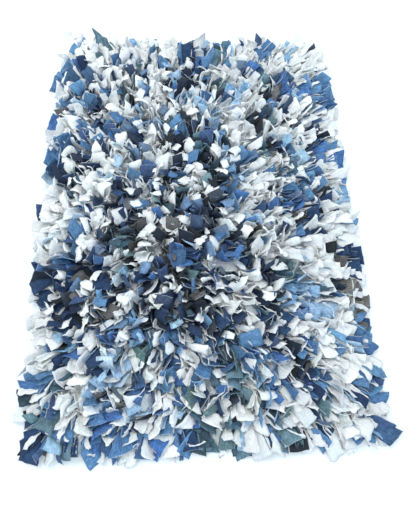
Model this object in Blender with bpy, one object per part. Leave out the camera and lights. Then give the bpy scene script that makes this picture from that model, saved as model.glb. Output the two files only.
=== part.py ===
"""Shag rug of cloth strips: a flat woven backing with rows of strip tails standing on it.

Metres, +Z up. The origin is on the floor under the middle of the rug, +Y runs along its length.
Each row is one solid, the outer shape of the tails knotted along one line of the backing. The pile
is upright in the middle, fans out towards the edges and falls over them to just above the floor.
"""

import math

import bmesh
import bpy

# Backing cloth
BACKING_WIDTH = 0.600
BACKING_LENGTH = 0.900
BACKING_THICK = 0.003

# Rows of knotted strips, one row every pitch along the length
ROW_COUNT = 25
ROW_PITCH = 0.036
ROW_END_MARGIN = 0.006  # from a row's end to the side of the backing
ROW_GAP = 0.0012  # left between neighbouring rows
TOUCH_GAP = 0.0003  # between a row and the backing it is knotted on

# Pile
PILE_HEIGHT = 0.047  # of the tallest tufts above the floor
LUMP_HEIGHT = 0.009  # how much lower the lowest tufts are
LUMP_SWAY = 0.0022  # how far the line of tufts wanders to either side
TUFTS_ALONG = 16  # blocks of a row between two cross-sections
CROWDING = math.radians(72)  # how much shorter the blocks are towards a row's ends, 0 for even
END_WIDTH = 0.78  # share of its width that a row keeps at its two ends
LEAN_POWER = 0.8  # under 1, so that a leaning tail bends most near its root

# How the pile spreads and falls at the edges
OVERHANG = 0.040  # how far the longest tails reach past the ends of the rows
UNEVEN = 0.30  # share of the overhang that the shortest tails lose
FAN = 0.25  # share of the overhang that builds up evenly from the middle
EDGE_POWER = 8  # how closely the rest keeps to the edges
EDGE_DROP = 0.60  # share of its height that the pile loses at its furthest reach
DROP_POWER = 0.8  # under 1, so that it falls most just past the backing
RIM_HEIGHT = 0.30  # share of what is left that the outermost tails keep, lying nearly flat
RIM_CLEARANCE = 0.0015  # between the floor and the tails that hang past the backing

# Cross-section of a row, from the backing up, as shares of its height and of the row pitch
LEVELS = (
    # height, width
    (0.00, 0.42),
    (0.30, 0.96),
    (0.74, 1.00),
    (0.93, 0.60),
)
CREST = 1.00  # height share of the ridge along the middle of the top

FABRICS = {
    # name: (red, green, blue), roughness
    "cotton_backing": ((0.74, 0.74, 0.78), 0.95),
    "white_cotton": ((0.80, 0.82, 0.84), 0.95),
    "pale_denim": ((0.33, 0.50, 0.72), 0.92),
    "mid_denim": ((0.10, 0.21, 0.43), 0.92),
    "dark_denim": ((0.025, 0.045, 0.085), 0.92),
    "slate_twill": ((0.09, 0.15, 0.18), 0.93),
}

# The cloth that shows most in each row, from the near end (-Y) to the far one
ROW_FABRICS = (
    "white_cotton", "mid_denim", "white_cotton", "slate_twill", "mid_denim",
    "pale_denim", "white_cotton", "dark_denim", "pale_denim", "white_cotton",
    "slate_twill", "dark_denim", "white_cotton", "mid_denim", "white_cotton",
    "dark_denim", "mid_denim", "white_cotton", "pale_denim", "mid_denim",
    "white_cotton", "dark_denim", "mid_denim", "slate_twill", "white_cotton",
)


def clear_scene():
    for obj in list(bpy.data.objects):
        bpy.data.objects.remove(obj, do_unlink=True)


def make_fabrics():
    made = {}
    for name, (colour, roughness) in FABRICS.items():
        fabric = bpy.data.materials.new(name)
        fabric.use_nodes = True
        shader = fabric.node_tree.nodes["Principled BSDF"]
        shader.inputs["Base Color"].default_value = (*colour, 1.0)
        shader.inputs["Roughness"].default_value = roughness
        shader.inputs["Metallic"].default_value = 0.0
        made[name] = fabric
    return made


def add_object(name, mesh, fabric, collection):
    mesh.materials.append(fabric)
    obj = bpy.data.objects.new(name, mesh)
    collection.objects.link(obj)
    return obj


def block_mesh(name, blocks):
    """A box primitive of unit blocks, as many along X, Y and Z as given, from the origin up."""
    shape = bmesh.new()
    bmesh.ops.create_cube(shape, size=1.0)
    for axis, count in enumerate(blocks):
        along = [
            edge
            for edge in shape.edges
            if abs(edge.verts[0].co[axis] - edge.verts[1].co[axis]) > 0.5
        ]
        if count > 1:
            bmesh.ops.subdivide_edges(shape, edges=along, cuts=count - 1, use_grid_fill=True)
    for vert in shape.verts:
        for axis, count in enumerate(blocks):
            vert.co[axis] = (vert.co[axis] + 0.5) * count
    mesh = bpy.data.meshes.new(name)
    shape.to_mesh(mesh)
    shape.free()
    return mesh


def uneven(place, phase=0.0):
    """0 to 1, wandering from tuft to tuft along the rug."""
    return 0.5 + 0.25 * (math.sin(2.4 * place + phase) + math.sin(1.3 * place - 1.6 * phase))


def spread(along, half_side, reach):
    """How far outwards a tuft's top leans, for a root this far from the middle of the rug."""
    share = min(abs(along) / half_side, 1.0)
    lean = reach * (FAN * share + (1 - FAN) * share**EDGE_POWER)
    return math.copysign(lean, along)


def past_backing(x, y):
    """0 over the backing, 1 at the pile's furthest reach."""
    past = max(abs(x) - BACKING_WIDTH / 2, abs(y) - BACKING_LENGTH / 2, 0.0)
    return min(past / OVERHANG, 1.0)


def row_mesh(name, row):
    """One row of tufts: a box of blocks, flared from its root, lumped and fanned out."""
    top = len(LEVELS) - 1
    mesh = block_mesh(name, (TUFTS_ALONG, 2, top))
    half_length = BACKING_WIDTH / 2 - ROW_END_MARGIN
    half_rug = ROW_COUNT * ROW_PITCH / 2
    half_row = (ROW_PITCH - ROW_GAP) / 2
    row_middle = (row + 0.5) * ROW_PITCH - half_rug
    root_z = BACKING_THICK + TOUCH_GAP
    full_height = PILE_HEIGHT - root_z
    outer_side = {0: 0, ROW_COUNT - 1: 2}.get(row)
    for vert in mesh.vertices:
        tuft, side, level = (round(value) for value in vert.co)
        height, width = LEVELS[level]
        if side == 1 and level == top:
            height = CREST
        at_end = tuft in (0, TUFTS_ALONG)
        if at_end:
            width *= END_WIDTH
        along = 2 * tuft / TUFTS_ALONG - 1
        root_x = half_length * math.sin(along * CROWDING) / math.sin(CROWDING)
        root_y = row_middle + (side - 1) * width * half_row

        # opposite sides of the rug are equally uneven, so it stays centred on the origin
        row_from_left = row if root_x < 0 else ROW_COUNT - 1 - row
        tuft_from_near = tuft if root_y < 0 else TUFTS_ALONG - tuft
        reach_x = OVERHANG * (1 - UNEVEN * uneven(row_from_left / 2))
        reach_y = OVERHANG * (1 - UNEVEN * uneven(tuft_from_near, 1.0))
        sway = LUMP_SWAY * math.sin(2 * tuft - TUFTS_ALONG)

        rise = height * (full_height - LUMP_HEIGHT * uneven(tuft, row))
        lean = (rise / full_height) ** LEAN_POWER
        x = root_x + lean * spread(root_x, half_length, reach_x)
        y = root_y + lean * (spread(root_y, half_rug, reach_y) + sway)
        past = past_backing(x, y)
        rise *= 1 - EDGE_DROP * past**DROP_POWER
        if at_end or side == outer_side:
            rise *= RIM_HEIGHT
        vert.co = (x, y, root_z + (RIM_CLEARANCE - root_z) * past + rise)
    mesh.update()
    return mesh


def backing_mesh(name):
    """The flat cloth, lying on the floor."""
    mesh = block_mesh(name, (1, 1, 1))
    for vert in mesh.vertices:
        across, along, up = vert.co
        vert.co = ((across - 0.5) * BACKING_WIDTH, (along - 0.5) * BACKING_LENGTH, up * BACKING_THICK)
    mesh.update()
    return mesh


def build():
    clear_scene()
    collection = bpy.data.collections.new("shag_rug")
    bpy.context.scene.collection.children.link(collection)
    fabrics = make_fabrics()
    add_object("backing_cloth", backing_mesh("backing_cloth"), fabrics["cotton_backing"], collection)
    for row in range(ROW_COUNT):
        name = f"strip_row_{row + 1:02d}"
        add_object(name, row_mesh(name, row), fabrics[ROW_FABRICS[row]], collection)


build()
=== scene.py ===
import functools
import itertools
import math
import time

import bpy
import numpy as np
from mathutils import Matrix, Vector


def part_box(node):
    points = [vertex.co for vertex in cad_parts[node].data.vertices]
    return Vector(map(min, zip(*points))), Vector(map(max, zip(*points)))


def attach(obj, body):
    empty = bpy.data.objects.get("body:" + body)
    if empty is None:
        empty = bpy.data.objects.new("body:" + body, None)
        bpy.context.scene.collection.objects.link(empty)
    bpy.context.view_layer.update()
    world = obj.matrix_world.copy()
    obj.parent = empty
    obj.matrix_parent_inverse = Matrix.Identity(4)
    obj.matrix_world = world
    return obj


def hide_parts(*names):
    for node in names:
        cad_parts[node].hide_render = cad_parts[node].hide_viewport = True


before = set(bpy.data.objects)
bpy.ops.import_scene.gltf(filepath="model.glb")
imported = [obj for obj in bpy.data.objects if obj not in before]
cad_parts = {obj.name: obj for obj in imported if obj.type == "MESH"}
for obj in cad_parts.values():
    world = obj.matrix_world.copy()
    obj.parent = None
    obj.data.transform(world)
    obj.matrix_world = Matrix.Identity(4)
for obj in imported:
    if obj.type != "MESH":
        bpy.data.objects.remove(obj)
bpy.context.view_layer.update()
startTime = time.time()
rng = np.random.default_rng(11)  # seeded, so every run gives the same rug


def say(words):
    print(f"[{time.time() - startTime:5.1f} s] {words}")


# The rug: a backing cloth with rows of knots, and a few strip ends, here called tails, on each knot
rug = {
    "rows": 25,  # one row of knots for each row solid of the CAD
    "knots": 24,  # knots in a row
    "tails": 6,  # tails that stand on each knot
    "margin": 0.006,  # bare hem outside the outermost rows
    "shows": 0.053,  # how far along a tail it shows most
    "spreadX": 1.06,  # how much wider the pile is than the backing
    "spreadY": 1.03,
    "backing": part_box("backing_cloth"),
    "rowName": "strip_row_{:02d}",
    "lowest": 0.0003,  # height that the lowest cloth keeps above the floor
}

# The cloth that shows over each knot, far row first. A dot is a knot that holds no strips.
knotChart = (
    "twwswswwwwwswwsswwmmwpww",
    "wwwswwwwswwddmswwwwwwpww",
    "mmwwwmwswwmddmwwmmwwwwww",
    "mwmmmwsmwddddwswdwswmwwm",
    "wwdmwswpwwpppwdpwsdtppmm",
    "wwmdwwdwwwwwpwwpwwwwdwwm",
    "mwwmwwdwppswdpwwwdswdwww",
    "wwmwmmmwmwdsdmswwdwwwwdw",
    "mwwdwwdwwmdwswwwwsdmwmmm",
    "mdwwwwwmwwwwdwwpmwwwmwww",
    "ddsswpwmwdmwwsspwwwwwmww",
    "wdwwwdwwwwswwdmwwwwmmmww",
    "wwwmwdmmwsdmdwmdwmmmwmdw",
    "wwmwwwdwmwwmddwwpwwwdddw",
    "wmmwdsttdtwdwmmdwwwwmwww",
    "wmdwdwswwtmmwmmdwwwwwwdd",
    "ddddmwpmmwdsdswwwdswwwwd",
    "wmtwmdtddwwtdwdwwdpppsdt",
    "dddwtwwdwdddwwwwdwpmpwwt",
    "wdmwwmwpddwdwddwwdwwwwwm",
    "wppmwswmwmmwwsmmdwpmwppm",
    "mwswppwswwwwmsmmwmdwwmww",
    "wmwwppwmwmmwdwswmmmmmwwm",
    "sswwmmwpwwsswwwwswwsswww",
    "dmmwmmmwmwms.swwmswmwwwm",
)

# The cloths the strips are cut from. Sizes are in metres.
#   tones       the dyed face in sRGB, one tone a strip, palest first
#   toneScatter how much its hue varies
#   fading      most of the undyed yarn that shows through its face
#   backShare   how far the back goes towards the undyed yarn
#   stiff       0 is limp jersey, 1 is new canvas
#   flatness    how strongly it stays one smooth sheet while it settles
#   crease      scatter of its bends from place to place, in degrees
#   curl        scatter of its roll across, in radians
#   ripple      height of the waves across it
#   ridge       height of the ridges that washing leaves along it
#   ragged      unevenness of its cut edges
#   slant       scatter of how far off square its tips are cut
#   wornCorner  most that the corners of a tip have worn off
#   frays       loose yarns a tail, on average
#   frayShare   share of its cut edges that have turned pale
stiffDenim = {
    "thick": 0.0011, "stiff": 0.80, "flatness": 0.45, "crease": 3.5, "curl": 0.30, "ripple": 0.0003,
    "ridge": 0.0001, "length": (0.038, 0.062), "ragged": 0.0004, "slant": 0.25, "wornCorner": 0.0008,
}
softTwill = {
    "thick": 0.0010, "stiff": 0.70, "flatness": 0.35, "crease": 5, "curl": 0.35, "ripple": 0.0004,
    "ridge": 0.0002, "length": (0.038, 0.060), "ragged": 0.0005, "slant": 0.25, "wornCorner": 0.0008,
}
cloths = {
    "w": {
        "name": "white cotton", "slot": "white_cotton",
        "tones": ("#f1efed", "#efeeec", "#eeedec", "#ebebeb", "#e9eaeb", "#e5e7e9"),
        "toneScatter": 0.008, "fading": 0.0, "backShare": 0.0, "thick": 0.0008, "stiff": 0.35,
        "flatness": 0.22, "crease": 6.5, "curl": 0.6, "ripple": 0.0008, "ridge": 0.0007,
        "width": (0.013, 0.029), "length": (0.038, 0.062), "ragged": 0.0009, "slant": 0.45,
        "wornCorner": 0.0050, "frays": 0.6, "frayShare": 0.0,
    },
    "p": softTwill | {
        "name": "pale washed denim", "slot": "pale_denim",
        "tones": ("#a5c3dd", "#9abbd8", "#8fb4d2", "#78a4ca", "#6a9cc4"),
        "toneScatter": 0.02, "fading": 0.11, "backShare": 0.45, "stiff": 0.60, "flatness": 0.30,
        "crease": 6, "ripple": 0.0005, "ridge": 0.0003, "width": (0.017, 0.031), "frays": 2.0,
        "frayShare": 0.15,
    },
    "m": stiffDenim | {
        "name": "mid blue denim", "slot": "mid_denim",
        "tones": ("#5080ac", "#3f709c", "#2f66a6", "#326394", "#28568a", "#1e4c76", "#1b4070"),
        "toneScatter": 0.02, "fading": 0.10, "backShare": 0.14, "width": (0.016, 0.033), "frays": 2.5,
        "frayShare": 0.20,
    },
    "d": stiffDenim | {
        "name": "dark navy denim", "slot": "dark_denim",
        "tones": ("#1b3a60", "#173054", "#10223c", "#0c1a2e", "#10161e"),
        "toneScatter": 0.03, "fading": 0.03, "backShare": 0.05, "width": (0.016, 0.031), "frays": 2.0,
        "frayShare": 0.15,
    },
    "s": softTwill | {
        "name": "slate twill", "slot": "slate_twill",
        "tones": ("#64838f", "#587377", "#4f7181", "#3f5f70", "#33505f", "#2a424f"),
        "toneScatter": 0.03, "fading": 0.05, "backShare": 0.07, "width": (0.016, 0.030), "frays": 2.0,
        "frayShare": 0.12,
    },
    "t": softTwill | {
        "name": "taupe canvas", "slot": "slate_twill",
        "tones": ("#736e6a", "#5b5655", "#413d3c"),
        "toneScatter": 0.02, "fading": 0.05, "backShare": 0.08, "width": (0.018, 0.030),
        "length": (0.038, 0.058), "frays": 1.5, "frayShare": 0.12,
    },
}
letters = "".join(cloths)
undyedYarn = "#d3dbe2"

# How the tails leave their knots, and how far they may go. Angles are in degrees, sizes in metres.
leaving = {
    "rootWidth": 0.008,  # each is pinched to this in its knot
    "knotSpread": 0.0050,  # from a knot's middle to the roots of its tails
    "aroundScatter": 0.5,  # of their places round it, in radians
    "rootScatter": 0.0012,
    "wander": 30,  # how far a tail at the edge turns from the way its neighbours lie
    "jitter": 19,  # scatter of the direction in which a tail leaves
    "clumping": 0.15,  # how strongly neighbouring knots lean together
    "clumpSizes": (0.10, 0.16, 0.26),
    "calm": 0.5,  # less of it on the right, where all lie one way
    "splay": 15,  # how far one knot's tails open away from each other
    "toRight": 0.12,  # lean of the whole pile, as how far out a tail goes for each unit up
    "right": 1.6,  # how much more it leans at each side
    "left": 0.7,
    "far": 1.3,
    "near": 1.6,
    "ceiling": (0.042, 0.052),  # height at which a tail is pressed down
    "pastX": (0.030, 0.050),  # how far past the backing it may reach
    "pastY": (0.040, 0.056),
}

# What each tail is cut from, and how large
choosing = {
    "seed": 13,
    "blend": 0.31,  # scatter of the place in the chart that a tail takes its cloth from
    "strayShare": (0.17, 0.47),  # tails that take any cloth, in the middle and at the edges
    "strayMix": (0.69, 0.08, 0.11, 0.08, 0.03, 0.01),  # chance of each cloth for those
    "sliverShare": 0.16,  # tails that are only a narrow offcut
    "sliverWidth": (0.3, 0.6),  # as a share of the whole width
    "shorter": 0.14,  # how much shorter tails are at the edges
    "longShare": 0.06,  # except for a few
    "longer": 0.3,
    "toneMiddle": 0.78,  # under 1 makes dark tones more frequent, over 1 pale ones; painted shade, darker tones in the deep middle of the pile
    "paintedLightAtEdges": 1.1,  # added to that at the edges, as painted light where the strips lie face up
    "wideMiddle": 0.98,  # share of its cloth's width that a tail has
    "wider": 0.30,  # added to that at the edges
}


def linearColour(hexColour):
    values = [int(hexColour[i:i + 2], 16) / 255 for i in (1, 3, 5)]
    return [v / 12.92 if v <= 0.04045 else ((v + 0.055) / 1.055) ** 2.4 for v in values]


def unit(vectors):
    return vectors / np.maximum(np.linalg.norm(vectors, axis=-1, keepdims=True), 1e-9)


def between(start, end, share):
    return start + (end - start) * share


def turn(vectors, axes, angles):
    # each vector turned about its own unit axis
    cos, sin = np.cos(angles)[:, None], np.sin(angles)[:, None]
    along = (vectors * axes).sum(1, keepdims=True)
    return vectors * cos + np.cross(axes, vectors) * sin + axes * along * (1 - cos)


def fact(plan, name):
    # one number of each tail's cloth, as an array
    return np.array([cloths[letter][name] for letter in plan["letter"]], float)


def brushed(shareX, shareY):
    # which way the pile lies: it parts along the middle, lies over more to the right, and falls
    # outwards at every edge, which the high powers keep to the last knots
    right, left = np.maximum(shareX, 0), np.maximum(-shareX, 0)
    far, near = np.maximum(shareY, 0), np.maximum(-shareY, 0)
    leanX = leaving["toRight"] + leaving["right"] * right - leaving["left"] * left**1.2
    leanY = leaving["far"] * far**1.3 - leaving["near"] * near**1.15
    leanX += (0.4 + 0.9 * far) * right**9 - (1.0 - 0.4 * far) * left**10
    leanY += 0.6 * far**12 - 0.8 * near**12
    return leanX, leanY


def clumps(x, y):
    # smooth scatter over the rug, in which neighbouring knots lean together
    total = np.zeros_like(x)
    for size in leaving["clumpSizes"]:
        for _ in range(3):
            angle, phase = rng.uniform(0, math.tau, 2)
            total += np.sin(math.tau / size * (x * math.cos(angle) + y * math.sin(angle)) + phase)
    return total / math.sqrt(1.5 * len(leaving["clumpSizes"]))


def layOutTails():
    # every tail's knot and leaving direction, as arrays with one entry a tail
    high = rug["backing"][1]
    rows, knots = rug["rows"], rug["knots"]
    places = np.meshgrid(*map(np.arange, (rows, knots, rug["tails"])), indexing="ij")
    row, knot, tail = (a.ravel() for a in places)
    kept = np.array([knotChart[rows - 1 - r][k] != "." for r, k in zip(row, knot)])
    row, knot, tail = row[kept], knot[kept], tail[kept]
    count = len(row)
    knotX = (high.x - rug["margin"]) * ((2 * knot + 1) / knots - 1)
    knotY = (high.y - rug["margin"]) * ((2 * row + 1) / rows - 1)
    around = math.tau * (tail + 0.5) / rug["tails"] + rng.normal(0, leaving["aroundScatter"], count)
    spread = leaving["knotSpread"] + rng.normal(0, leaving["rootScatter"], count)
    rootX, rootY = knotX + spread * np.cos(around), knotY + spread * np.sin(around)

    shareX, shareY = knotX / high.x, knotY / high.y
    leanX, leanY = brushed(shareX, shareY)
    unruly = 1 - leaving["calm"] * np.clip(2 * shareX, 0, 1)
    edge = np.maximum(np.abs(shareX), np.abs(shareY))
    astray = np.radians(leaving["wander"] * rng.normal(0, 1, count) * unruly * edge)
    cos, sin = np.cos(astray), np.sin(astray)
    leanX, leanY = leanX * cos - leanY * sin, leanX * sin + leanY * cos
    leanX += leaving["clumping"] * clumps(knotX, knotY)
    leanY += leaving["clumping"] * clumps(knotX, knotY)
    splay, jitter = (math.tan(math.radians(leaving[name])) for name in ("splay", "jitter"))
    leanX += splay * np.cos(around) + rng.normal(0, 1, count) * jitter * unruly
    leanY += splay * np.sin(around) + rng.normal(0, 1, count) * jitter * unruly
    return {
        "count": count, "row": row, "rootX": rootX, "rootY": rootY, "leanX": leanX, "leanY": leanY,
        "edge": edge,
        "ceiling": rng.uniform(*leaving["ceiling"], count),
        "wallX": high.x + rng.uniform(*leaving["pastX"], count),
        "wallY": high.y + rng.uniform(*leaving["pastY"], count),
    }


def chooseCloths(plan, showsX, showsY):
    # each tail's cloth is the chart's at the place where the tail shows, and its size goes with the cloth
    chance = np.random.default_rng(choosing["seed"])
    high, rows, knots, count = rug["backing"][1], rug["rows"], rug["knots"], plan["count"]
    column = (showsX / rug["spreadX"] / (high.x - rug["margin"]) + 1) / 2 * knots
    line = (showsY / rug["spreadY"] / (high.y - rug["margin"]) + 1) / 2 * rows
    column += chance.normal(0, choosing["blend"], count)
    line += chance.normal(0, choosing["blend"], count)
    column, line = column.astype(int).clip(0, knots - 1), line.astype(int).clip(0, rows - 1)
    letter = np.array([knotChart[rows - 1 - r][k] for r, k in zip(line, column)])
    edge = plan["edge"]
    stray = (chance.random(count) < between(*choosing["strayShare"], edge**1.8)) | (letter == ".")
    letter = np.where(stray, chance.choice(list(letters), count, p=choosing["strayMix"]), letter)
    isSliver = chance.random(count) < choosing["sliverShare"]
    sliver = np.where(isSliver, chance.uniform(*choosing["sliverWidth"], count), 1)
    isLong = chance.random(count) < choosing["longShare"]
    reach = 1 - choosing["shorter"] * edge**6 + choosing["longer"] * isLong * edge**6
    sizes = {}
    for name in ("width", "length"):
        least, most = np.array([cloths[c][name] for c in letter]).T
        sizes[name] = between(least, most, chance.random(count))
    # painted shade and light: tones are drawn darker in the middle of the rug and paler towards its edges
    tones = np.array([len(cloths[c]["tones"]) for c in letter])
    tone = chance.random(count) ** (choosing["toneMiddle"] + choosing["paintedLightAtEdges"] * edge**2) * tones
    return plan | {
        "letter": letter, "cloth": np.array([letters.index(c) for c in letter]), "tone": tone.astype(int),
        "width": sizes["width"] * sliver * (choosing["wideMiddle"] + choosing["wider"] * edge**2),
        "length": sizes["length"] * reach,
    }


# The shape a tail would take by itself. Angles are in degrees unless a note says otherwise.
shaping = {
    "turnMiddle": 80,  # how far faces turn from the way the pile lies, in its middle
    "turnEdge": 32,  # and at its edges, where they lie face up
    "bendMiddle": 21,  # how far a tail curves over in the middle of the rug
    "bendEdge": 46,  # and at its edges
    "bendMean": 0.55,  # shares of that: most curve outwards, and some back
    "bendScatter": 0.8,
    "bendPlace": (0.3, 2.4),  # the greater, the nearer to its tip it bends
    "twist": 20,
    "wring": 0.7,  # scatter of its twists, as a share of that of its bends
    "foldedShare": 0.16,  # tails that are folded lengthwise
    "folded": 2.6,  # how many times more these are rolled
    "reroll": 0.5,  # how much the roll changes on the way
    "opened": (0.28, 0.62),  # share of its length at which it has its full width
    "lift": 0.0008,  # of its root above the backing
}

# How finely a tail is divided while it settles, and how the settling goes. Sizes are in metres.
settling = {
    "seed": 12,
    "stations": 12,  # points along a tail
    "lanes": 5,  # points across it
    "steps": 80,
    "quickSteps": 15,
    "apart": 0.0045,  # distance that points of two tails keep
    "sag": 0.00005,  # gained each step by what falls
    "drag": 0.80,
    "fastest": 0.0020,  # movement in a step
    "searchEvery": 4,  # steps between two searches for neighbours
    "searchReach": 1.4,  # how far they look, as a share of apart
    "restOn": 0.0012,  # height of a tail's middle above what it lies on
    "press": 0.5,  # share of its excess that a step takes off a tail that is too high
    "pushBack": 0.3,  # and off one that reaches too far out
}


def restingShapes(plan):
    # pinched at its root, rolled across and bent along
    chance = np.random.default_rng(settling["seed"])
    count = plan["count"]
    stations, lanes = settling["stations"], settling["lanes"]
    tangent = unit(np.stack([plan["leanX"], plan["leanY"], np.ones(count)], 1))
    sideways = unit(np.stack([-plan["leanY"], plan["leanX"], np.zeros(count)], 1))
    inEdge = plan["edge"] ** 2
    freedom = np.radians(between(shaping["turnMiddle"], shaping["turnEdge"], inEdge))
    sideways = turn(sideways, tangent, chance.normal(0, 1, count) * freedom)
    normal = np.cross(tangent, sideways)

    over = between(shaping["bendMiddle"], shaping["bendEdge"], inEdge)
    bend = np.radians(chance.normal(shaping["bendMean"], shaping["bendScatter"], count) * over)
    twist = np.radians(chance.normal(0, shaping["twist"], count))
    crease = np.radians(chance.normal(0, 1, (stations, count)) * fact(plan, "crease"))
    wring = np.radians(chance.normal(0, shaping["wring"], (stations, count)) * fact(plan, "crease"))
    roll = chance.normal(0, 1, count) * fact(plan, "curl")
    roll *= np.where(chance.random(count) < shaping["foldedShare"], shaping["folded"], 1.0)
    reroll = chance.normal(0, shaping["reroll"], count) * fact(plan, "curl")
    ripple = chance.normal(0, 1, count) * fact(plan, "ripple")
    phase = chance.uniform(0, math.tau, count)
    late = chance.uniform(*shaping["bendPlace"], count)
    opened = chance.uniform(*shaping["opened"], count)
    step = plan["length"] / (stations - 1)

    shape = np.zeros((count, stations, lanes, 3))
    rootZ = np.full(count, rug["backing"][1].z + shaping["lift"])
    point = np.stack([plan["rootX"], plan["rootY"], rootZ], 1)
    for i, s in enumerate(np.linspace(0, 1, stations)):
        if i:
            middle = s - 0.5 / (stations - 1)
            angle = bend * (late + 1) * middle**late / (stations - 1) + crease[i]
            tangent, normal = turn(tangent, sideways, angle), turn(normal, sideways, angle)
            angle = twist / (stations - 1) + wring[i]
            sideways, normal = turn(sideways, tangent, angle), turn(normal, tangent, angle)
            point = point + tangent * step[:, None]
        opening = np.clip(s / opened, 0, 1)
        opening = opening * opening * (3 - 2 * opening)
        wide = between(leaving["rootWidth"], plan["width"], opening)
        arc = roll * (1.2 - 0.6 * s) + reroll * math.sin(5 * s)
        arc = np.where(np.abs(arc) < 0.05, 0.05, arc)  # a flat one is given a very wide arc
        for j, t in enumerate(np.linspace(-1, 1, lanes)):
            aside = wide / arc * np.sin(arc * t / 2)
            out = wide / arc * (1 - np.cos(arc * t / 2))
            out += ripple * np.cos(math.pi * t + phase + 3 * s) * min(3 * s, 1)
            shape[:, i, j] = point + sideways * aside[:, None] + normal * out[:, None]
    return shape


def linkTable(stations, lanes):
    # pairs of points that hold their distance, in groups in which no point is used twice
    kinds = (
        # steps along, steps across, hold in limp cloth, hold in stiff cloth
        (1, 0, 1.00, 1.00),
        (0, 1, 0.90, 0.95),
        (1, 1, 0.45, 0.75),
        (1, -1, 0.45, 0.75),
        (2, 0, 0.08, 0.60),
        (0, 2, 0.15, 0.60),
        (4, 0, 0.03, 0.40),
        (0, 4, 0.06, 0.40),
    )
    groups = []
    for along, across, limp, firm in kinds:
        chosen = []
        for i in range(stations - along):
            for j in range(max(0, -across), lanes - max(0, across)):
                pair = (i * lanes + j, (i + along) * lanes + j + across)
                for group in chosen:
                    if not any(pair[0] in other or pair[1] in other for other in group):
                        group.append(pair)
                        break
                else:
                    chosen.append([pair])
        for group in chosen:
            firsts, seconds = np.array(group).T
            groups.append((firsts, seconds, limp, firm))
    return groups


def flatteningTable(stations, lanes):
    # weights that turn a tail's points into the nearest smooth sheet, bent one way and cupped a little
    grid = np.meshgrid(np.linspace(0, 1, stations), np.linspace(-1, 1, lanes), indexing="ij")
    s, t = (a.ravel() for a in grid)
    shapes = np.stack([s**k * t**m for k, m in ((0, 0), (1, 0), (2, 0), (3, 0), (0, 1), (1, 1), (0, 2))], 1)
    weight = np.where(s > 0.25, 1.0, 0.1)[:, None]
    smooth = shapes @ np.linalg.solve(shapes.T @ (shapes * weight), (shapes * weight).T)
    share = np.clip((s - 0.2) / 0.3, 0, 1)[:, None]
    return np.eye(len(s)) + share * (smooth - np.eye(len(s)))


def nearPairs(points, owner, reach):
    # pairs of points of two tails that are closer than reach, found on a grid of cells that size
    cell = np.floor((points - points.min(0)) / reach).astype(np.int64) + 1
    size = cell.max(0) + 2
    key = (cell[:, 0] * size[1] + cell[:, 1]) * size[2] + cell[:, 2]
    order = np.argsort(key, kind="stable")
    ordered = key[order]
    places = np.arange(len(ordered))
    firsts, seconds = [], []
    for dx, dy, dz in itertools.product((-1, 0, 1), repeat=3):
        offset = (dx * size[1] + dy) * size[2] + dz
        if offset < 0:
            continue
        begin = places + 1 if offset == 0 else np.searchsorted(ordered, ordered + offset, "left")
        end = np.searchsorted(ordered, ordered + offset, "right")
        many = np.maximum(end - begin, 0)
        a = np.repeat(places, many)
        b = np.arange(many.sum()) - np.repeat(np.cumsum(many) - many, many) + np.repeat(begin, many)
        a, b = order[a], order[b]
        apart = owner[a] != owner[b]
        a, b = a[apart], b[apart]
        close = ((points[a] - points[b]) ** 2).sum(1) < reach * reach
        firsts.append(a[close])
        seconds.append(b[close])
    return np.concatenate(firsts), np.concatenate(seconds)


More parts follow.
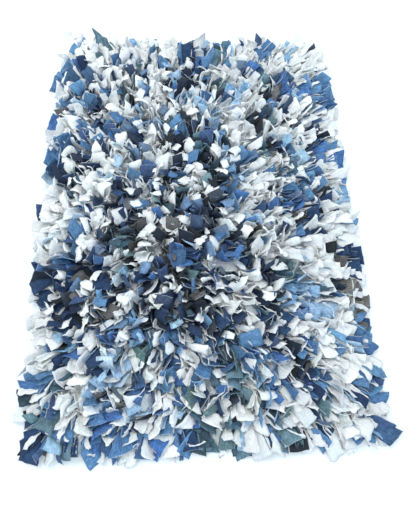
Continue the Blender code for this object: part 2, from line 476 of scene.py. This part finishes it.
def settle(shape, plan):
    # the tails push each other apart, sag, and come to lie on each other, the backing and the floor
    count, stations, lanes = shape.shape[:3]
    high = rug["backing"][1]
    start = shape.reshape(count, stations * lanes, 3).astype(np.float32)
    points = start.copy()
    links = linkTable(stations, lanes)
    rests = [np.linalg.norm(start[:, b] - start[:, a], axis=2) for a, b, _, _ in links]
    stiff = fact(plan, "stiff")[:, None]
    holds = [0.5 * between(limp, firm, stiff) for _, _, limp, firm in links]
    flatten = flatteningTable(stations, lanes).astype(np.float32)
    flatness = fact(plan, "flatness")[:, None, None].astype(np.float32)
    pinned = slice(0, 2 * lanes)
    free = np.arange(3 * lanes, stations * lanes)
    owner = np.repeat(np.arange(count), len(free))
    ceiling = plan["ceiling"][:, None].astype(np.float32)
    walls = [plan[name][:, None].astype(np.float32) for name in ("wallX", "wallY")]
    speed = np.zeros_like(points)
    apart = settling["apart"]
    for step in range(settling["steps"]):
        before = points.copy()
        speed *= settling["drag"]
        speed[..., 2] -= settling["sag"]
        points += speed
        for (a, b, _, _), rest, hold in zip(links, rests, holds):
            gap = points[:, b] - points[:, a]
            long = np.sqrt((gap * gap).sum(2)) + 1e-9
            gap *= (hold * (1 - rest / long))[..., None].astype(np.float32)
            points[:, a] += gap
            points[:, b] -= gap
        points += flatness * (np.matmul(flatten, points) - points)
        flat = points[:, free].reshape(-1, 3)
        if step % settling["searchEvery"] == 0:
            first, second = nearPairs(flat, owner, apart * settling["searchReach"])
        gap = flat[first] - flat[second]
        long = np.sqrt((gap * gap).sum(1)) + 1e-9
        push = 0.5 * np.maximum(apart - long, 0) / long
        gap *= push[:, None]
        meets = push > 0
        total = len(flat)
        hits = np.bincount(first[meets], minlength=total) + np.bincount(second[meets], minlength=total)
        for axis in range(3):
            move = np.bincount(first, gap[:, axis], total) - np.bincount(second, gap[:, axis], total)
            flat[:, axis] += move / np.sqrt(np.maximum(hits, 1))
        points[:, free] = flat.reshape(count, -1, 3)
        points[:, pinned] = start[:, pinned]
        over = (np.abs(points[..., 0]) < high.x) & (np.abs(points[..., 1]) < high.y)
        lowest = np.where(over, high.z + settling["restOn"], settling["restOn"])
        points[..., 2] = np.maximum(points[..., 2], lowest)
        points[..., 2] -= settling["press"] * np.maximum(points[..., 2] - ceiling, 0)
        for axis, wall in enumerate(walls):
            reached = points[..., axis]
            points[..., axis] -= settling["pushBack"] * (reached - np.clip(reached, -wall, wall))
        speed = points - before
        size = np.sqrt((speed * speed).sum(2, keepdims=True)) + 1e-9
        speed *= np.minimum(1, settling["fastest"] / size)
    return points.reshape(count, stations, lanes, 3)


# The cut strips' own mesh
cutting = {
    "alongPoints": 10,
    "acrossPoints": 6,
    "pleatDepth": 0.0016,  # of the gathers near the knot
    "pleatReach": 0.6,  # share of the length that they reach
    "wrinkle": 0.55,  # height of the small wrinkles, as a share of the cloth's ripple
    "lift": 0.0011,  # scatter of how far the long edges curl up
    "trim": 0.050,  # the pile is pressed down above this height
    "press": 0.6,  # by this share of what stands above it
}


def splineTable(knots, places):
    # weights that turn values at even knots into their natural cubic spline at places from 0 to 1
    bend, value = np.zeros((knots, knots)), np.zeros((knots, knots))
    bend[0, 0] = bend[-1, -1] = 1
    for i in range(1, knots - 1):
        bend[i, i - 1:i + 2] = (1 / 6, 2 / 3, 1 / 6)
        value[i, i - 1:i + 2] = (1, -2, 1)
    second = np.linalg.solve(bend, value)
    table = np.zeros((len(places), knots))
    for row, place in enumerate(np.asarray(places) * (knots - 1)):
        i = min(int(place), knots - 2)
        b = place - i
        a = 1 - b
        table[row, i] += a
        table[row, i + 1] += b
        table[row] += ((a**3 - a) * second[i] + (b**3 - b) * second[i + 1]) / 6
    return table


def surfaceNormals(points):
    return unit(np.cross(np.gradient(points, axis=1), np.gradient(points, axis=2)))


def cutTails(points, plan):
    # finer points for every tail, with uneven cuts, gathers, wrinkles and lifted edges
    count = plan["count"]
    s = np.linspace(0, 1, cutting["alongPoints"])
    t = np.linspace(-1, 1, cutting["acrossPoints"])
    alongTable = splineTable(points.shape[1], s)
    acrossTable = splineTable(points.shape[2], (t + 1) / 2)
    fine = np.einsum("ai,bj,nijk->nabk", alongTable, acrossTable, points.astype(float), optimize=True)

    tangent = unit(np.gradient(fine, axis=1))
    sideways = unit(np.gradient(fine, axis=2))
    slant = rng.normal(0, 1, count) * fact(plan, "slant") * plan["width"] / 2
    corner = rng.uniform(0, 1, count) * fact(plan, "wornCorner")
    longer = slant[:, None] * t - corner[:, None] * t**6
    ragged = fact(plan, "ragged")
    longer += rng.normal(0, 1, (count, len(t))) * ragged[:, None]
    fine += tangent * (longer[:, None, :] * (s**4)[None, :, None])[..., None]
    wander = rng.normal(0, 1, (2, count, len(s), 1)) * np.minimum(s * 4, 1)[:, None] * ragged[:, None, None]
    fine[:, :, 0] += sideways[:, :, 0] * wander[0]
    fine[:, :, -1] += sideways[:, :, -1] * wander[1]

    s, t = s[None, :, None], t[None, None, :]
    phase = rng.uniform(0, math.tau, (5, count, 1, 1))
    gathers = np.clip(1 - s / cutting["pleatReach"], 0, 1) ** 0.7
    out = cutting["pleatDepth"] * gathers * np.cos(math.tau * t + phase[0])
    wrinkle = (fact(plan, "ripple") * cutting["wrinkle"] + 0.0001)[:, None, None]
    for k in range(3):
        a = rng.uniform(4, 17, (count, 1, 1))
        b = rng.uniform(-5, 5, (count, 1, 1))
        out = out + wrinkle * np.sin(a * s + b * t + phase[k + 1]) * np.minimum(s * 3, 1)
    for share in (1 - s, s):
        out = out + rng.normal(0, 1, (count, 1, t.shape[2])) * fact(plan, "ridge")[:, None, None] * share
    lift = rng.normal(0, cutting["lift"], (2, count, 1, 1))
    out += np.where(t < 0, lift[0], lift[1]) * np.abs(t) ** 3 * s
    fine = fine + surfaceNormals(fine) * out[..., None]
    fine[..., 2] -= cutting["press"] * np.maximum(fine[..., 2] - cutting["trim"], 0)
    return fine


def tailTemplate():
    # the quads of one closed tail, where each corner lies in its cell of the texture, and whether
    # the quad is cut edge: a front sheet in one cell, a back sheet in the next, the edge round the first
    rows, lanes = cutting["alongPoints"], cutting["acrossPoints"]
    sheet = rows * lanes
    i, j = np.divmod(np.arange(sheet), lanes)
    inner, outer = 0.06, 0.025
    inside = 1 - 2 * inner
    place = np.stack([inner + inside * j / (lanes - 1), inner + inside * i / (rows - 1)], 1)
    brim = place.copy()
    brim[j == 0, 0], brim[j == lanes - 1, 0] = outer, 1 - outer
    brim[i == 0, 1], brim[i == rows - 1, 1] = outer, 1 - outer
    faces, corners = [], []
    for a in range(sheet - lanes):
        if j[a] < lanes - 1:
            quad = (a, a + 1, a + lanes + 1, a + lanes)
            faces.append(quad)
            corners.append([place[v] for v in quad])
    front = len(faces)
    for quad, corner in list(zip(faces, corners)):
        faces.append(tuple(sheet + v for v in quad[::-1]))
        corners.append([c + (1, 0) for c in corner[::-1]])
    loop = list(range(lanes)) + [k * lanes + lanes - 1 for k in range(1, rows)]
    loop += [sheet - 1 - k for k in range(1, lanes)] + [k * lanes for k in range(rows - 2, 0, -1)]
    for a, b in zip(loop, loop[1:] + loop[:1]):
        faces.append((b, a, sheet + a, sheet + b))
        corners.append([place[b], place[a], brim[a], brim[b]])
    return np.array(faces), np.array(corners), np.arange(len(faces)) >= 2 * front


# Loose yarns at the cut edges. Sizes are in metres.
fraying = {
    "radius": 0.00022,
    "short": (0.0020, 0.0065),
    "long": (0.008, 0.016),
    "longShare": 0.03,
    "astray": 0.45,  # scatter of the way they leave the edge
    "swerve": (0.7, 1.1),  # scatter of their bend, for short ones and long ones
    "inside": 0.0006,  # how far in from the edge they start
    "taper": 0.35,
    "highest": 0.056,  # none stands higher than this
    "stations": 2,  # rings of each yarn before its tip
}


def frayYarns(fine, plan):
    # a curved, tapering yarn for each fray: its tail and its points, 3 a ring and then the tip
    frays = rng.poisson(fact(plan, "frays"))
    tail = np.repeat(np.arange(plan["count"]), frays)
    count = len(tail)
    rows, lanes = cutting["alongPoints"], cutting["acrossPoints"]
    atTip = rng.random(count) < 0.5
    side = np.where(rng.random(count) < 0.5, 0, lanes - 1)
    i = np.where(atTip, rows - 1, rng.integers(rows // 3, rows, count))
    j = np.where(atTip, rng.integers(0, lanes, count), side)
    tangent = unit(np.gradient(fine, axis=1))[tail, i, j]
    sideways = unit(np.gradient(fine, axis=2))[tail, i, j]
    outward = np.where(atTip[:, None], tangent, sideways * np.where(side == 0, -1, 1)[:, None])
    heading = unit(outward + rng.normal(0, fraying["astray"], (count, 3)))
    long = rng.uniform(*fraying["short"], count)
    isLong = rng.random(count) < fraying["longShare"]
    long = np.where(isLong, rng.uniform(*fraying["long"], count), long)
    swerve = rng.normal(0, 1, (count, 3)) * np.where(isLong, *fraying["swerve"][::-1])[:, None]
    across = unit(np.cross(heading, rng.normal(0, 1, (count, 3))))
    third = np.cross(heading, across)
    stations = fraying["stations"]
    verts = np.zeros((count, 3 * stations + 1, 3))
    start = fine[tail, i, j] - outward * fraying["inside"]
    for k in range(stations + 1):
        share = k / stations
        middle = start + (heading * share + swerve * share**2 * 0.5) * long[:, None]
        if k == stations:
            verts[:, -1] = middle
            break
        radius = fraying["radius"] * (1 - fraying["taper"] * share)
        for corner in range(3):
            angle = math.tau * corner / 3
            verts[:, 3 * k + corner] = middle + (across * math.cos(angle) + third * math.sin(angle)) * radius
    return tail, verts


def yarnTemplate():
    # faces of one yarn, as corner lists, and each corner's place in the yarn's own little cell
    stations = fraying["stations"]
    faces, corners = [(2, 1, 0)], [[(0.30, 0.02), (0.20, 0.02), (0.25, 0.05)]]
    for k in range(stations):
        low, high = 0.08 + 0.84 * k / stations, 0.08 + 0.84 * (k + 1) / stations
        for side in range(3):
            a, b = 3 * k + side, 3 * k + (side + 1) % 3
            left, right = side / 3 + 0.03, (side + 1) / 3 - 0.03
            if k < stations - 1:
                faces.append((a, b, b + 3, a + 3))
                corners.append([(left, low), (right, low), (right, high), (left, high)])
            else:
                faces.append((a, b, 3 * stations))
                corners.append([(left, low), (right, low), ((left + right) / 2, high)])
    return faces, corners


# Seams that some denim strips were cut along. Sizes are in millimetres.
seaming = {
    "share": 0.007,  # of the stiff strips
    "apart": 5.5,  # between the two lines of stitches
    "stitch": 3.4,  # length of a stitch with its gap
    "raised": 0.78,  # share of it that lies on top
    "thread": 1.1,  # 0.6 in life; drawn wider, to show from standing height
    "colour": "#c98f35",
}


def tailColours(plan):
    # linear colours of each tail's face and back
    face = np.array([linearColour(cloths[c]["tones"][k]) for c, k in zip(plan["letter"], plan["tone"])])
    face *= rng.normal(1, 0.07, (plan["count"], 1)).clip(0.8, 1.15)
    face *= 1 + rng.normal(0, 1, (plan["count"], 3)).clip(-2, 2) * fact(plan, "toneScatter")[:, None]
    return face, between(face, np.array(linearColour(undyedYarn)), fact(plan, "backShare")[:, None])


def meshFrom(name, points, faceSizes, corners):
    mesh = bpy.data.meshes.new(name)
    mesh.vertices.add(len(points))
    mesh.vertices.foreach_set("co", points.astype(np.float32).ravel())
    mesh.loops.add(len(corners))
    mesh.loops.foreach_set("vertex_index", corners.astype(np.int32))
    mesh.polygons.add(len(faceSizes))
    mesh.polygons.foreach_set("loop_start", (np.cumsum(faceSizes) - faceSizes).astype(np.int32))
    mesh.update(calc_edges=True)
    return mesh


def newObject(name, data):
    made = bpy.data.objects.new(name, data)
    bpy.context.scene.collection.objects.link(made)
    return made


def setLayer(mesh, name, kind, domain, values):
    layer = mesh.attributes.new(name, kind, domain)
    key = "color" if kind == "FLOAT_COLOR" else "value"
    layer.data.foreach_set(key, np.ascontiguousarray(values).ravel())


def joined(ofTails, ofYarns, columns):
    return np.concatenate([ofTails.reshape(-1, columns), ofYarns.reshape(-1, columns)])


def setPlaces(mesh, name, places):
    mesh.uv_layers.new(name=name).data.foreach_set("uv", places.astype(np.float32).ravel())


# A row's texture is cut into cells, and a tail takes two
gridding = {
    "columns": 24,
    "lines": 13,
    "perCell": (4, 12),  # yarns in a cell that no tail takes, across and up
}
farOff = {"edgeMm": 9.0, "seamMm": 99.0}  # distances that count as nowhere near, in millimetres
yarnBlend = {0.8: 0.30, 0.4: 0.30, 0.0: 0.40}  # how undyed a loose yarn is, and the chance of that


def clothPoints(plan):
    # each point's place on its cloth in real millimetres, how far it is from the nearest cut edge that
    # has turned pale, and how far from a seam. A few strips were cut along a sewn seam.
    count = plan["count"]
    across = np.linspace(-1, 1, cutting["acrossPoints"])[None, None, :]
    along = np.linspace(0, 1, cutting["alongPoints"])[None, :, None]
    width, length = (plan[k][:, None, None] * 1000 for k in ("width", "length"))
    onCloth = np.stack(np.broadcast_arrays(across * width / 2, along * length), -1)
    onCloth = onCloth + rng.uniform(0, 300, (count, 1, 1, 2))
    clean = farOff["edgeMm"] * (rng.random((3, count, 1, 1)) > fact(plan, "frayShare")[:, None, None])
    edge = np.minimum((1 + across) * width / 2 + clean[0], (1 - across) * width / 2 + clean[1])
    edge = np.minimum(edge, (1 - along) * length + clean[2])
    sewn = (rng.random(count) < seaming["share"]) & (fact(plan, "stiff") > 0.75)
    place = rng.uniform(-0.25, 0.25, count)[:, None, None] * width
    seam = np.where(sewn[:, None, None], across * width / 2 - place, farOff["seamMm"]) + 0 * along
    return onCloth, {"edgeMm": edge, "seamMm": seam}


def inGrid(places, columns):
    return np.stack([places % columns, places // columns], 1)


def texturePlaces(tailCells, yarnCells, tails, yarns):
    # each corner's place in the row's texture: tails from the lower left, yarns in what is left over
    columns, lines, perCell = gridding["columns"], gridding["lines"], gridding["perCell"]
    corner = inGrid(2 * np.arange(tails), columns)[:, None, None]
    tailPlaces = (tailCells[None] + corner) / (columns, lines)
    cell, inCell = np.divmod(np.arange(yarns), perCell[0] * perCell[1])
    corner, inner = inGrid(cell + 2 * tails, columns), inGrid(inCell, perCell[0])
    yarnPlaces = (corner[:, None] + (inner[:, None] + yarnCells[None]) / perCell) / (columns, lines)
    return joined(tailPlaces, yarnPlaces, 2)


def buildRows(fine, plan, materials):
    # one joined mesh a row of knots: its tails and their loose yarns
    sheet = cutting["alongPoints"] * cutting["acrossPoints"]
    half = surfaceNormals(fine) * fact(plan, "thick")[:, None, None, None] / 2
    tailVerts = np.stack([fine + half, fine - half], 1).reshape(plan["count"], 2 * sheet, 3)
    yarnTail, yarnVerts = frayYarns(fine, plan)
    isLow = yarnVerts[..., 2].max(1) < fraying["highest"]
    face, back = tailColours(plan)
    pale = np.array(linearColour(undyedYarn))
    quads, tailCells, isRim = tailTemplate()
    yarnFaces, yarnCells = yarnTemplate()
    yarnSizes = np.array([len(f) for f in yarnFaces])
    yarnCorners, yarnCells = np.concatenate(yarnFaces), np.concatenate(yarnCells)
    onCloth, distances = clothPoints(plan)

    made = []
    for row in range(rug["rows"]):
        mine = np.nonzero(plan["row"] == row)[0]
        free = (gridding["columns"] * gridding["lines"] - 2 * len(mine)) * math.prod(gridding["perCell"])
        threads = np.nonzero(np.isin(yarnTail, mine) & isLow)[0][:free]
        yarnPoints, yarnFaceCount = len(threads) * yarnVerts.shape[1], len(threads) * len(yarnSizes)
        verts = joined(tailVerts[mine], yarnVerts[threads], 3)
        verts[:, 2] = np.maximum(verts[:, 2], rug["lowest"])
        tailLoops = (quads.ravel()[None] + np.arange(len(mine))[:, None] * 2 * sheet).ravel()
        shift = len(mine) * 2 * sheet + np.arange(len(threads))[:, None] * yarnVerts.shape[1]
        yarnLoops = (yarnCorners[None] + shift).ravel()
        sizes = np.concatenate([np.full(len(mine) * len(quads), 4), np.tile(yarnSizes, len(threads))])
        mesh = meshFrom(f"row {row + 1}", verts, sizes, np.concatenate([tailLoops, yarnLoops]))
        for material in materials:
            mesh.materials.append(material)
        kind = np.repeat(plan["cloth"][mine], len(quads))
        kind = np.concatenate([kind, np.full(yarnFaceCount, len(letters))])
        mesh.polygons.foreach_set("material_index", kind.astype(np.int32))
        sharp = np.concatenate([np.tile(isRim, len(mine)), np.zeros(yarnFaceCount, bool)])
        setLayer(mesh, "sharp_face", "BOOLEAN", "FACE", sharp)

        colours = np.ones((len(mine), 2, sheet, 4), np.float32)
        colours[:, 0, :, :3] = face[mine][:, None]
        colours[:, 1, :, :3] = back[mine][:, None]
        ofYarn = np.ones((len(threads), yarnVerts.shape[1], 4), np.float32)
        blend = rng.choice(list(yarnBlend), (len(threads), 1), p=list(yarnBlend.values()))
        ofYarn[..., :3] = (face[yarnTail[threads]] * (1 - blend) + pale * blend)[:, None]
        setLayer(mesh, "clothColour", "FLOAT_COLOR", "POINT", joined(colours, ofYarn, 4))
        for name, values in distances.items():
            ofTails = np.repeat(values[mine].reshape(len(mine), 1, sheet), 2, 1).ravel()
            both = np.concatenate([ofTails, np.full(yarnPoints, farOff[name])])
            setLayer(mesh, name, "FLOAT", "POINT", both.astype(np.float32))

        cloth = np.repeat(onCloth[mine].reshape(len(mine), 1, sheet, 2), 2, 1).reshape(-1, 2)
        flat = np.zeros((len(mesh.loops), 2))
        flat[:len(tailLoops)] = cloth[tailLoops]
        setPlaces(mesh, "weave", flat)
        setPlaces(mesh, "OFBake", texturePlaces(tailCells, yarnCells, len(mine), len(threads)))

        most = letters[np.bincount(plan["cloth"][mine]).argmax()]
        node = rug["rowName"].format(row + 1)
        piece = newObject(f"tails_{row + 1:02d}", mesh)
        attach(piece, "root")
        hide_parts(node)
        made.append(piece)
    return made


def addNode(tree, kind, inputs=(), result=0, **settings):
    # one node: its settings, its inputs in order or by place or name, each a value or what it is
    # linked to, and the output that is wanted of it
    node = tree.nodes.new("ShaderNode" + kind)
    for name, value in settings.items():
        setattr(node, name, value)
    for place, value in inputs.items() if isinstance(inputs, dict) else enumerate(inputs):
        if isinstance(value, bpy.types.NodeSocket):
            tree.links.new(value, node.inputs[place])
        else:
            node.inputs[place].default_value = value
    return node.outputs[result] if node.outputs else node


def newMaterial(name):
    # an empty material, and what adds a node to it
    material = bpy.data.materials.new(name)
    material.use_nodes = True
    material.node_tree.nodes.clear()
    return material, functools.partial(addNode, material.node_tree)


def finishCloth(add, colour, height, distance, sheen):
    # matte woven cloth: very rough, with the faint pale edge glow of loose fibres
    bump = add("Bump", {"Strength": 1.0, "Distance": distance, "Height": height})
    shader = add("BsdfPrincipled", {
        "Base Color": colour, "Normal": bump, "Roughness": 0.9, "IOR": 1.5, "Specular IOR Level": 0.3,
        "Sheen Weight": sheen, "Sheen Roughness": 0.5})
    add("OutputMaterial", {"Surface": shader})


def clothPlace(add, across, along, turned=0.0):
    # the cloth's own millimetres, scaled each way
    uv = add("UVMap", uv_map="weave")
    turning = (0, 0, math.radians(turned))
    return add("Mapping", {"Vector": uv, "Scale": (across, along, 1), "Rotation": turning})


def denim(facts):
    # ring-dyed twill: dyed warp over undyed weft, so it fades to pale at rubbed creases and cut edges
    material, add = newMaterial(facts["name"])
    edge = add("Attribute", (), "Fac", attribute_name="edgeMm")
    pale = (*linearColour(undyedYarn), 1)

    # warp yarns are 0.5 mm apart in life, drawn as streaks over 1 mm wide to show from standing height
    slub, wash, ragged = (add("TexNoise", {
        "Vector": clothPlace(add, across, along), "Scale": 1.0, "Detail": detail, "Roughness": rough,
    }) for across, along, detail, rough in (
        (0.60, 0.14, 3, 0.7), (0.09, 0.07, 2, 0.5), (0.9, 0.9, 2, 0.5)))
    streaks = add("MapRange", (slub, 0.35, 0.70, 0.0, facts["fading"]))
    shade = add("MapRange", (wash, 0.30, 0.70, 0.75, 1.25))
    grain = add("MapRange", (slub, 0.32, 0.68, 0.60, 1.40))
    shade = add("Math", (shade, grain), operation="MULTIPLY")
    shade = add("CombineColor", (shade, shade, shade))

    # twill lines 0.9 mm apart, drawn 1.5 mm apart
    slanted = clothPlace(add, 1, 1, 28)
    lines = {"Vector": slanted, "Scale": 0.21, "Distortion": 1.2, "Detail": 1.0}
    twill = add("TexWave", lines, "Fac", bands_direction="X")
    weft = add("MapRange", (twill, 0.2, 1.0, 0.4 * facts["fading"], 0.0))

    # a pale fringe of uneven width at some cut edges
    reach = add("MapRange", (ragged, 0.35, 0.7, 0.1, 1.3))
    near = add("Math", (edge, reach), operation="LESS_THAN")
    fray = add("Math", (near, 0.5), operation="MULTIPLY")

    # two lines of stitches
    seam = add("Attribute", (), "Fac", attribute_name="seamMm")
    uv = add("UVMap", uv_map="weave")
    along = add("SeparateXYZ", (uv,), "Y")
    beside = add("Math", (seam,), operation="ABSOLUTE")
    half = seaming["apart"] / 2
    online = add("Math", (beside, half, seaming["thread"] / 2), operation="COMPARE")
    turned = add("Math", (along, seaming["stitch"]), operation="DIVIDE")
    turned = add("Math", (turned,), operation="FRACT")
    raised = add("Math", (turned, seaming["raised"]), operation="LESS_THAN")
    thread = add("Math", (online, raised), operation="MULTIPLY")
    stitches = (*linearColour(seaming["colour"]), 1)

    colour = add("Attribute", (), "Color", attribute_name="clothColour")
    for share, over, way in (
            (streaks, pale, "MIX"), (1.0, shade, "MULTIPLY"), (weft, pale, "MIX"), (fray, pale, "MIX"),
            (thread, stitches, "MIX")):
        colour = add("Mix", {0: share, 6: colour, 7: over}, 2, data_type="RGBA", blend_type=way)

    height = add("Math", (twill, 0.4, slub), operation="MULTIPLY_ADD")
    height = add("Math", (height, thread), operation="ADD")
    finishCloth(add, colour, height, 0.0008, 0.04)
    return material


def cotton(facts):
    # thin plain weave that has been washed and crumpled: small wrinkles that run mostly lengthwise, with
    # painted shade along its wrinkles and fold lines
    material, add = newMaterial(facts["name"])
    dyed = add("Attribute", (), "Color", attribute_name="clothColour")
    wrinkles, crumples, foldShade = (add("TexNoise", {
        "Vector": clothPlace(add, across, along), "Scale": 1.0, "Detail": detail, "Roughness": rough,
    }) for across, along, detail, rough in (
        (0.48, 0.07, 3, 0.6), (0.11, 0.09, 2, 0.5), (0.16, 0.07, 1, 0.4)))
    foldShade = add("Math", (foldShade, 0.5), operation="SUBTRACT")
    foldShade = add("Math", (foldShade,), operation="ABSOLUTE")
    foldShade = add("MapRange", (foldShade, 0.0, 0.035, 0.87, 1.0))  # painted shade: a sharp dark line where it was folded, with no bump of its own
    # painted shade: the colour darkens where the wrinkles dip, the same wrinkles that give the bump
    shade = add("MapRange", (wrinkles, 0.30, 0.65, 0.92, 1.04))
    shade = add("Math", (shade, foldShade), operation="MULTIPLY")
    shade = add("CombineColor", (shade, shade, shade))
    colour = add("Mix", {0: 1.0, 6: dyed, 7: shade}, 2, data_type="RGBA", blend_type="MULTIPLY")
    height = add("Math", (crumples, 2.2, wrinkles), operation="MULTIPLY_ADD")
    finishCloth(add, colour, height, 0.0015, 0.06)
    return material


def yarn():
    # undyed or dyed cotton yarn
    material, add = newMaterial("loose yarn")
    colour = add("Attribute", (), "Color", attribute_name="clothColour")
    shader = add("BsdfPrincipled", {"Base Color": colour, "Roughness": 0.9, "IOR": 1.5})
    add("OutputMaterial", {"Surface": shader})
    return material


# The backing cloth: plain-woven cotton with a turned hem, drawn in a little along each row of knots
backing = {
    "across": 48,  # faces
    "along": 100,
    "hem": 0.012,
    "hemRise": 0.0009,
    "rib": 0.0005,  # half of the rise and fall from row to row
    "uneven": 0.0012,  # of its outline
    "tone": "#e3e1e9",
}


def makeBacking():
    low, high = rug["backing"]
    size, rise = high - low, high.z
    columns, lines = backing["across"] + 1, backing["along"] + 1
    x, y = np.meshgrid(np.linspace(low.x, high.x, columns), np.linspace(low.y, high.y, lines))
    side = np.minimum(high.x - np.abs(x), high.y - np.abs(y))
    ribs = np.cos(math.tau * (y / (high.y - rug["margin"]) + 1) * rug["rows"] / 2)
    top = rise - backing["rib"] * (1 - ribs) / 2 + backing["hemRise"] * (side < backing["hem"])
    wave = 0.5 * np.sin(34 * x + 1.3) + 0.5 * np.sin(71 * x + 0.4)
    wave2 = 0.5 * np.sin(29 * y + 0.7) + 0.5 * np.sin(63 * y + 2.1)
    edgeX, edgeY = np.abs(x / high.x) ** 40, np.abs(y / high.y) ** 40
    x = x * (1 - edgeX * backing["uneven"] * (1 + wave2) / 2 / high.x)
    y = y * (1 - edgeY * backing["uneven"] * (1 + wave) / 2 / high.y)
    flat = np.stack([x, y], -1)
    upper = np.concatenate([flat, top[..., None]], -1).reshape(-1, 3)
    under = np.concatenate([flat, np.full_like(top, low.z)[..., None]], -1).reshape(-1, 3)
    grid = np.arange(columns * lines).reshape(lines, columns)
    quads = np.stack([grid[:-1, :-1], grid[:-1, 1:], grid[1:, 1:], grid[1:, :-1]], -1).reshape(-1, 4)
    loop = np.concatenate([grid[0], grid[1:, -1], grid[-1, -2::-1], grid[-2:0:-1, 0]])
    after = np.roll(loop, -1)
    count = columns * lines
    rim = np.stack([loop + count, after + count, after, loop], 1)
    faces = np.concatenate([quads, quads[:, ::-1] + count, rim])
    mesh = meshFrom("backing", np.concatenate([upper, under]), np.full(len(faces), 4), faces.ravel())
    sharp = np.zeros(len(faces), bool)
    sharp[2 * len(quads):] = True
    setLayer(mesh, "sharp_face", "BOOLEAN", "FACE", sharp)
    setPlaces(mesh, "weave", np.concatenate([upper, under])[faces.ravel(), :2] * 1000)
    mesh.materials.append(backingCotton())
    piece = newObject("backing", mesh)
    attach(piece, "root")
    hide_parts("backing_cloth")
    return piece


def backingCotton():
    # off-white plain weave, over and under: thread pairs 1 mm apart, drawn 2 mm apart
    material, add = newMaterial("plain-woven cotton")
    warp, weft = (add(
        "TexWave", {"Vector": clothPlace(add, 1, 1), "Scale": 0.16}, "Fac", bands_direction=way,
    ) for way in "XY")
    woven = add("Math", (warp, weft), operation="MAXIMUM")
    uneven = add("TexNoise", {
        "Vector": clothPlace(add, 0.05, 0.05), "Scale": 1.0, "Detail": 3, "Roughness": 0.5})
    tone = (*linearColour(backing["tone"]), 1)
    dull = (*(0.72 * v for v in tone[:3]), 1)
    lit = add("MapRange", (woven, 0.0, 1.0, 0.25, 1.0))
    colour = add("Mix", {0: lit, 6: dull, 7: tone}, 2, data_type="RGBA")
    soiled = add("MapRange", (uneven, 0.3, 0.7, 0.0, 0.25))
    colour = add("Mix", {0: soiled, 6: colour, 7: dull}, 2, data_type="RGBA")
    finishCloth(add, colour, woven, 0.0004, 0.04)
    return material


def makeFloor():
    bpy.ops.mesh.primitive_plane_add(size=12, location=(0, 0, 0))
    floor = bpy.context.object
    floor.name = "floor"
    material = bpy.data.materials.new("white floor")
    material.use_nodes = True
    shader = material.node_tree.nodes["Principled BSDF"]
    shader.inputs["Base Color"].default_value = (0.92, 0.92, 0.92, 1)
    shader.inputs["Roughness"].default_value = 0.9
    floor.data.materials.append(material)


# Light: a bright plain room and one wide soft lamp above the far left corner
lighting = {
    "room": 1.34,
    "roomColour": (0.765, 0.90, 1.0),
    "lampPlace": (-0.8, 0.5, 2.1),
    "lampSize": 1.3,
    "lampPower": 15.5,
    "lampColour": (1.0, 0.89, 0.72),
}


def makeLights():
    data = bpy.data.lights.new("softbox", "AREA")
    data.shape = "DISK"
    data.size = lighting["lampSize"]
    data.energy = lighting["lampPower"]
    data.color = lighting["lampColour"]
    lamp = newObject("softbox", data)
    lamp.location = lighting["lampPlace"]
    lamp.rotation_euler = (-Vector(lighting["lampPlace"])).to_track_quat("-Z", "Y").to_euler()
    world = bpy.data.worlds.new("studio")
    world.use_nodes = True
    background = world.node_tree.nodes["Background"]
    background.inputs["Color"].default_value = (*lighting["roomColour"], 1)
    background.inputs["Strength"].default_value = lighting["room"]
    bpy.context.scene.world = world
    bpy.context.scene.view_settings.view_transform = "Standard"


# Camera: held above the near edge, a little left of the middle. Angles are in degrees.
viewing = {
    "place": (-0.035, -0.431, 0.839),
    "down": 68.1,
    "aside": 8.8,  # to the right of the rug's length
    "tilt": 7.1,  # of the horizon
    "lens": 31.2,  # millimetres, on a sensor 36 mm high
}


def makeCamera():
    data = bpy.data.cameras.new("camera")
    data.sensor_width = 36
    data.lens = viewing["lens"]
    camera = newObject("camera", data)
    down, aside, tilt = (math.radians(viewing[name]) for name in ("down", "aside", "tilt"))
    look = Matrix.Rotation(-aside, 4, "Z") @ Matrix.Rotation(math.pi / 2 - down, 4, "X")
    camera.matrix_world = Matrix.Translation(viewing["place"]) @ look @ Matrix.Rotation(tilt, 4, "Z")
    bpy.context.scene.camera = camera


# the tails settle once to find where each comes to show, and once more in the cloth that shows there
plan = layOutTails()
out = rug["shows"] / np.sqrt(1 + plan["leanX"] ** 2 + plan["leanY"] ** 2)
plan = chooseCloths(plan, plan["rootX"] + plan["leanX"] * out, plan["rootY"] + plan["leanY"] * out)
say(f"settling {plan['count']} tails")
settled = settle(restingShapes(plan), plan)
shows = settled[:, settling["stations"] // 2:].mean((1, 2))
plan = chooseCloths(plan, shows[:, 0], shows[:, 1])
say("settling them again")
settled = settle(restingShapes(plan), plan)
say("cutting the strips")
fine = cutTails(settled, plan)
materials = [cotton(cloths[c]) if c == "w" else denim(cloths[c]) for c in letters] + [yarn()]
rowPieces = buildRows(fine, plan, materials)
for piece in rowPieces:
    piece.data.calc_loop_triangles()
say(f"{sum(len(piece.data.loop_triangles) for piece in rowPieces)} triangles in the rows")

backingPiece = makeBacking()

makeFloor()
makeLights()
makeCamera()
say("lit and framed")
